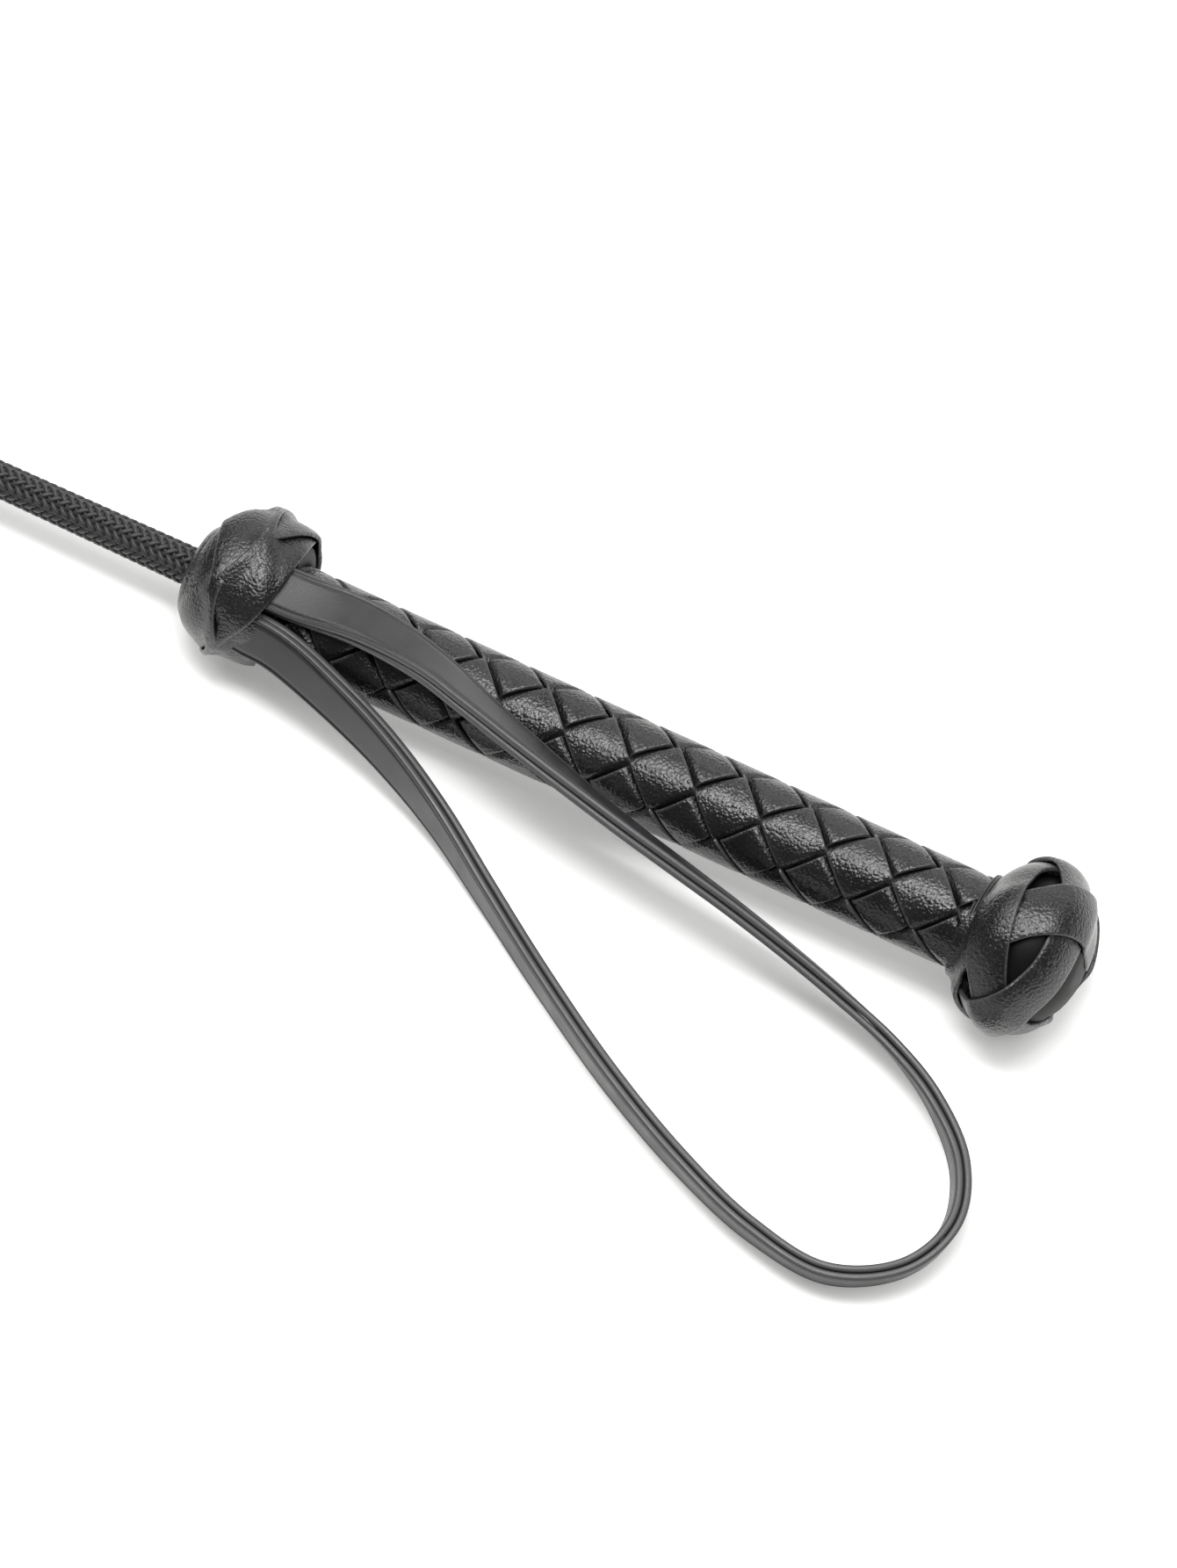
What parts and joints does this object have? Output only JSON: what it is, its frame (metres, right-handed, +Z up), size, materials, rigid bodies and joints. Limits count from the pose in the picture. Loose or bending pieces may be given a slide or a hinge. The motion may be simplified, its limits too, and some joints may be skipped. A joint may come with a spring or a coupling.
{
  "type": "riding crop",
  "caption": "Riding crop with a braided shaft, a plaited leather grip, a knotted collar and pommel, a flat wrist loop and a flexing leather keeper at its tip.",
  "frame": {"origin": "on the surface that the crop lies on, under the middle of its box", "axes": "+X along the crop towards the pommel, -X towards the keeper, -Y the side the wrist loop lies on, +Z up"},
  "size_m": [0.6528, 0.0954, 0.0377],
  "materials": {
    "plait_leather": "fine-grained black leather, semi-gloss, cut edges a little paler",
    "knot_leather": "fine-grained black leather, semi-gloss, creased where it bends",
    "strap_leather": "smooth black strap leather, satin",
    "strap_lining": "smooth black lining leather, satin, a little duller",
    "keeper_leather": "black leather, satin, sewn along its edge",
    "braided_thread": "tight black synthetic braid with a low sheen",
    "waxed_thread": "black waxed thread, wound",
    "fibreglass": "pale fibreglass rod",
    "filler_rubber": "dark filler, hidden",
    "wood_block": "turned wood, hidden",
    "steel": "bright nail, hidden"
  },
  "bodies": {
    "crop": {"core_rod": "fibreglass", "shaft_sleeve": "braided_thread", "handle_core": "filler_rubber", "plait_strand_right_1": "plait_leather", "plait_strand_right_2": "plait_leather", "plait_strand_right_3": "plait_leather", "plait_strand_right_4": "plait_leather", "plait_strand_left_1": "plait_leather", "plait_strand_left_2": "plait_leather", "plait_strand_left_3": "plait_leather", "plait_strand_left_4": "plait_leather", "collar_build_up": "filler_rubber", "collar_binding": "waxed_thread", "collar_knot": "knot_leather", "strap_tab_upper": "strap_leather", "strap_tab_lower": "strap_leather", "pommel_core": "wood_block", "pommel_tack": "steel", "pommel_binding": "waxed_thread", "pommel_knot": "knot_leather", "keeper_root": "strap_leather", "keeper_binding": "waxed_thread"},
    "wrist_loop": {"wrist_strap_outer": "strap_leather", "wrist_strap_inner": "strap_lining"},
    "keeper": {"keeper_leaf_upper": "keeper_leather", "keeper_leaf_lower": "keeper_leather"}
  },
  "joints": [
    {"name": "wrist_loop_lift", "type": "hinge", "parent": "crop", "child": "wrist_loop", "pos_m": [0.15282, 0.02138, 0.02578], "axis": [0, -0.829, -0.5592], "range_deg": [0, 110]},
    {"name": "keeper_flap", "type": "hinge", "parent": "crop", "child": "keeper", "pos_m": [-0.27837, 0.02876, 0.00412], "axis": [0, 1, 0], "range_deg": [-45, 45], "stiffness_Nm_per_rad": 0.05}
  ]
}
